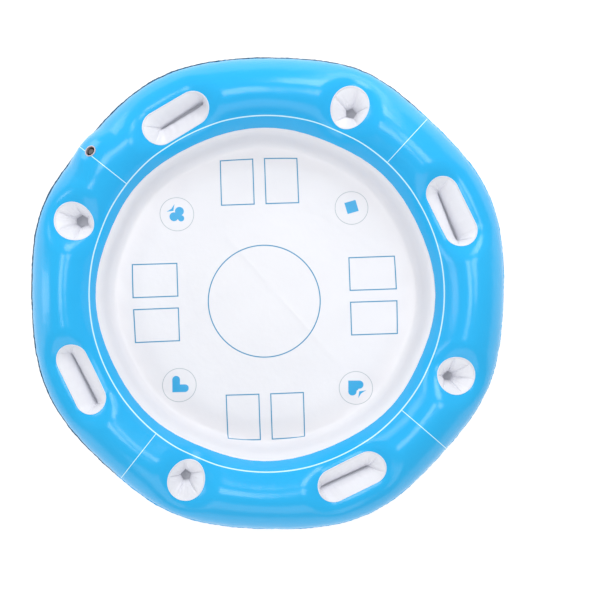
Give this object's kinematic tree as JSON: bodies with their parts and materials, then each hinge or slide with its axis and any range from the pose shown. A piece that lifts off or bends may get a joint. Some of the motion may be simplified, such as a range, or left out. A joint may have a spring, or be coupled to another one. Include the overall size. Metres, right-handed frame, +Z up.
{
  "type": "inflatable floating card table",
  "caption": "Round inflatable floating card table: a tube ring with cup wells, long trays and a push-in valve around a slack printed play sheet.",
  "frame": {"origin": "centre of the ring on the surface that the float rests on", "axes": "+Z up, out of the play sheet's printed face; +X and +Y lie in the plane of the ring, with the card outlines along them"},
  "size_m": [1.0639, 1.064, 0.155],
  "materials": {
    "blue_film": "glossy",
    "white_film": "glossy",
    "printed_sheet": "satin",
    "valve_vinyl": "glossy"
  },
  "bodies": {
    "float": {"top_skin_1": "blue_film", "top_skin_2": "blue_film", "top_skin_3": "blue_film", "top_skin_4": "blue_film", "bottom_skin_1": "blue_film", "bottom_skin_2": "blue_film", "bottom_skin_3": "blue_film", "bottom_skin_4": "blue_film", "outer_seam": "blue_film", "inner_seam": "white_film", "play_sheet": "printed_sheet", "sheet_rim": "printed_sheet", "cup_sleeve_1": "white_film", "cup_sleeve_2": "white_film", "cup_sleeve_3": "white_film", "cup_sleeve_4": "white_film", "cup_base_1": "white_film", "cup_base_2": "white_film", "cup_base_3": "white_film", "cup_base_4": "white_film", "tray_sleeve_1": "white_film", "tray_sleeve_2": "white_film", "tray_sleeve_3": "white_film", "tray_sleeve_4": "white_film", "tray_base_1": "white_film", "tray_base_2": "white_film", "tray_base_3": "white_film", "tray_base_4": "white_film", "valve_flange": "valve_vinyl", "valve_boot": "valve_vinyl"},
    "stem": {"valve_stem": "valve_vinyl", "valve_strap": "valve_vinyl"},
    "plug": {"valve_plug": "valve_vinyl"},
    "flap": {"valve_flap": "valve_vinyl"}
  },
  "joints": [
    {"name": "stem_slide", "type": "slide", "parent": "float", "child": "stem", "axis": [-0.3961, 0.3207, 0.8604], "range_m": [0, 0.012]},
    {"name": "plug_hinge", "type": "hinge", "parent": "stem", "child": "plug", "pos_m": [-0.38481, 0.31161, 0.13856], "axis": [-0.6293, -0.7771, 0], "range_deg": [0, 115]},
    {"name": "flap_hinge", "type": "hinge", "parent": "stem", "child": "flap", "pos_m": [-0.37403, 0.30289, 0.11888], "axis": [0.6293, 0.7771, 0], "range_deg": [0, 50], "stiffness_Nm_per_rad": 0.0005}
  ]
}
